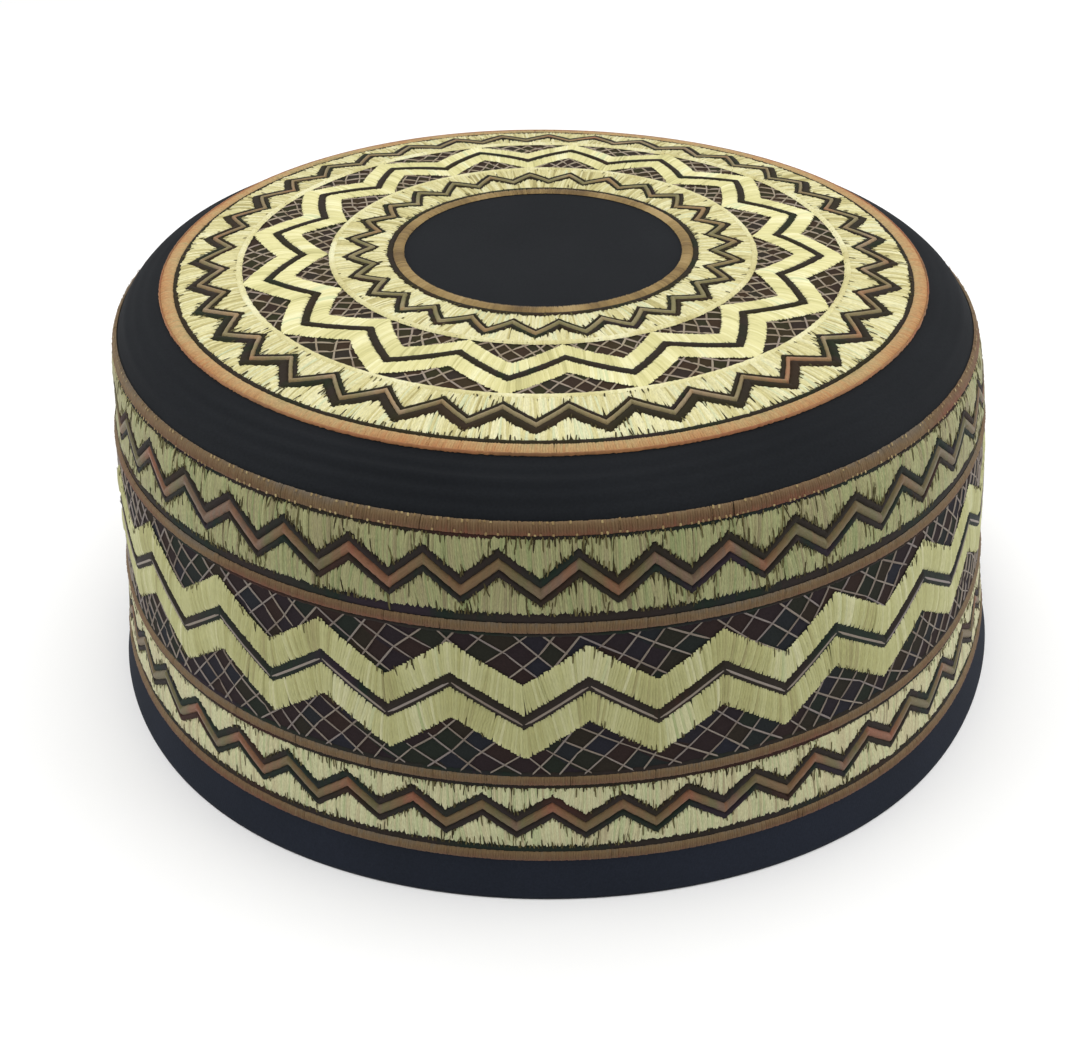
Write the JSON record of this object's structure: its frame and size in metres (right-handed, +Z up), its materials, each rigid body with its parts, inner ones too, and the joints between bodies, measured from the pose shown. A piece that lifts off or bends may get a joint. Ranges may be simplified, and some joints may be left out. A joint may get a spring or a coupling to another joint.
{
  "type": "embroidered skullcap",
  "caption": "Round flat-topped skullcap with a tapered standing side, a soft shoulder, and satin-stitched zigzag bands and raised lines; hollow and open below for a head.",
  "frame": {"origin": "centre of the flat lower edge, on the cap's axis, at the plane it rests on", "axes": "+Z up along the cap's axis towards the crown; -Y is the side that faces the picture's viewer"},
  "size_m": [0.1853, 0.1853, 0.0793],
  "materials": {
    "cloth": "matt dark navy-black cloth",
    "copper_thread": "copper-brown satin stitch",
    "gold_thread": "pale gold satin stitch"
  },
  "bodies": {
    "root": {"side_band": "cloth", "hem_band": "cloth", "crown": "cloth", "hem_line": "copper_thread", "side_lower_line": "copper_thread", "side_upper_line": "copper_thread", "crown_seam_line": "copper_thread", "crown_outer_line": "copper_thread", "crown_inner_line": "copper_thread", "side_zigzag_lower": "gold_thread", "side_zigzag_upper": "gold_thread", "star_inner": "gold_thread", "star_outer": "gold_thread"}
  },
  "joints": []
}
